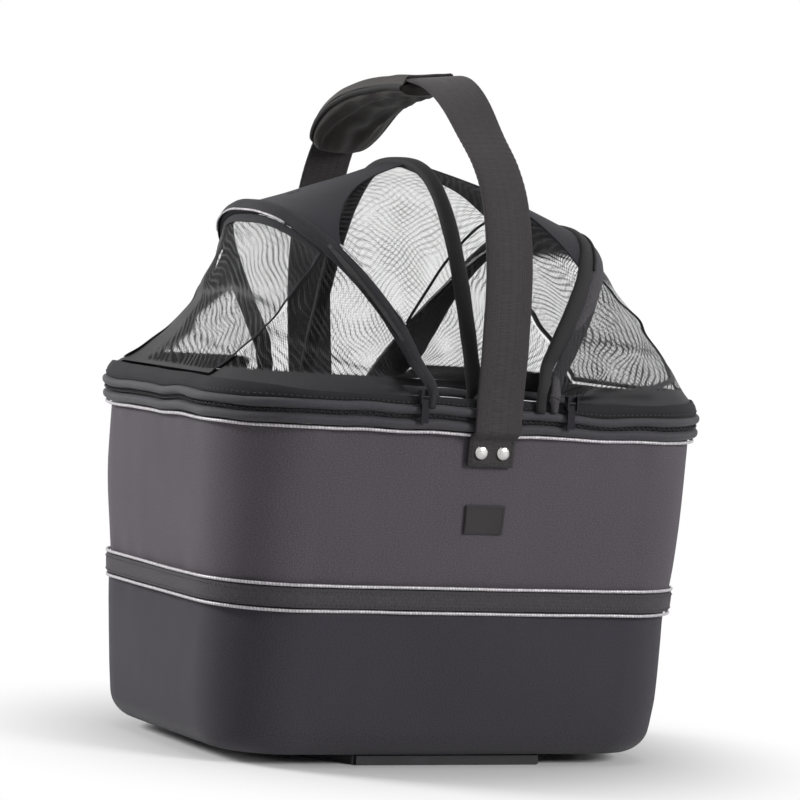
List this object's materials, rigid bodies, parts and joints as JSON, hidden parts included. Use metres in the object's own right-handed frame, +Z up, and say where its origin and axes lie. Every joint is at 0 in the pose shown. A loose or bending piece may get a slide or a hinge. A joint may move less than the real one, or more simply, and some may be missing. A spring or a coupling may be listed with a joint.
{
  "type": "dog bicycle basket",
  "caption": "Padded fabric basket for carrying a small dog on a handlebar, with a net canopy on bent hoops, zipped side doors, a carrying strap and a lift-off clamp adapter.",
  "frame": {"origin": "middle of the base plate's underside, which is the face the basket stands on", "axes": "+Z up, -Y to the front that looks away from the rider, +Y to the handlebar adapter, +X to the right seen from the front"},
  "size_m": [0.4156, 0.3837, 0.508],
  "materials": {
    "shell_fabric": "tight dark grey woven polyester over a stiff padded panel",
    "wall_fabric": "speckled dark grey woven polyester",
    "binding_fabric": "rolled woven binding",
    "canopy_fabric": "black plain-woven polyester",
    "net_fabric": "fine black net that one can see through",
    "webbing": "woven brown-black strap webbing",
    "reflective_piping": "silver-grey reflective piping",
    "lining_fabric": "smooth dark lining",
    "cushion_fleece": "soft grey fleece",
    "black_plastic": "black moulded plastic, fine grain",
    "board_plastic": "plain dark sheet plastic",
    "zip_plastic": "black coil zip",
    "bright_steel": "bright nickel-plated steel",
    "spring_steel": "drawn spring wire",
    "fibreglass": "pultruded glass-fibre rod",
    "button_plastic": "red moulded plastic",
    "label_weave": "plain woven tag"
  },
  "bodies": {
    "basket": {"lower_shell": "shell_fabric", "belt_band": "shell_fabric", "upper_wall": "wall_fabric", "rim_roll_lower": "binding_fabric", "rim_roll_upper": "binding_fabric", "canopy_base_band": "canopy_fabric", "left_ridge_panel": "canopy_fabric", "right_ridge_panel": "canopy_fabric", "left_hoop_sleeve": "canopy_fabric", "centre_hoop_sleeve": "canopy_fabric", "right_hoop_sleeve": "canopy_fabric", "front_left_net": "net_fabric", "front_right_net": "net_fabric", "back_left_net": "net_fabric", "back_right_net": "net_fabric", "front_left_corner_net": "net_fabric", "front_right_corner_net": "net_fabric", "back_left_corner_net": "net_fabric", "back_right_corner_net": "net_fabric", "front_strap_end": "webbing", "back_strap_end": "webbing", "leash_loop": "webbing", "belt_piping_lower": "reflective_piping", "belt_piping_upper": "reflective_piping", "rim_piping": "reflective_piping", "inner_lining": "lining_fabric", "cushion": "cushion_fleece", "base_plate": "black_plastic", "mount_plate": "black_plastic", "floor_board": "board_plastic", "back_stiffener": "board_plastic", "rim_zipper": "zip_plastic", "left_base_screw": "bright_steel", "right_base_screw": "bright_steel", "front_left_rivet": "bright_steel", "front_right_rivet": "bright_steel", "back_left_rivet": "bright_steel", "back_right_rivet": "bright_steel", "left_mount_bolt": "bright_steel", "right_mount_bolt": "bright_steel", "left_door_slider": "bright_steel", "right_door_slider": "bright_steel", "left_hoop_rod": "fibreglass", "centre_hoop_rod": "fibreglass", "right_hoop_rod": "fibreglass", "label_tag": "label_weave"},
    "handle": {"carrying_strap": "webbing", "grip_pad": "webbing"},
    "left_door": {"left_door": "net_fabric"},
    "right_door": {"right_door": "net_fabric"},
    "left_pull": {"left_door_pull": "bright_steel"},
    "right_pull": {"right_door_pull": "bright_steel"},
    "rim_slider": {"rim_zip_slider": "bright_steel"},
    "leash_ring": {"leash_ring": "bright_steel"},
    "adapter": {"handlebar_adapter": "black_plastic", "clamp_cap": "black_plastic", "lower_clamp_bolt": "bright_steel", "upper_clamp_bolt": "bright_steel", "button_spring": "spring_steel"},
    "button": {"release_button": "button_plastic"}
  },
  "joints": [
    {"name": "strap_swing", "type": "hinge", "parent": "basket", "child": "handle", "pos_m": [0, 0, 0.2715], "axis": [0, 1, 0], "range_deg": [-65, 65]},
    {"name": "left_door_hinge", "type": "hinge", "parent": "basket", "child": "left_door", "pos_m": [-0.1985, 0, 0.2839], "axis": [0, -1, 0], "range_deg": [0, 110]},
    {"name": "right_door_hinge", "type": "hinge", "parent": "basket", "child": "right_door", "pos_m": [0.1985, 0, 0.2839], "axis": [0, 1, 0], "range_deg": [0, 110]},
    {"name": "left_pull_swing", "type": "hinge", "parent": "basket", "child": "left_pull", "pos_m": [-0.0605, -0.15661, 0.2748], "axis": [-1, 0, 0], "range_deg": [0, 100]},
    {"name": "right_pull_swing", "type": "hinge", "parent": "basket", "child": "right_pull", "pos_m": [0.0605, -0.15661, 0.2748], "axis": [-1, 0, 0], "range_deg": [0, 100]},
    {"name": "rim_zip_slide", "type": "slide", "parent": "basket", "child": "rim_slider", "axis": [0.9992, -0.04, 0], "range_m": [0, 0.05]},
    {"name": "leash_ring_swing", "type": "hinge", "parent": "basket", "child": "leash_ring", "pos_m": [0.1, 0.13181, 0.206], "axis": [-1, 0, 0], "range_deg": [0, 90]},
    {"name": "adapter_slide", "type": "slide", "parent": "basket", "child": "adapter", "axis": [0, 0, -1], "range_m": [0, 0.06]},
    {"name": "button_press", "type": "slide", "parent": "adapter", "child": "button", "axis": [0, 0, -1], "range_m": [0, 0.004], "stiffness_N_per_m": 400, "springref_m": -0.001, "deforming": ["button_spring"]}
  ]
}
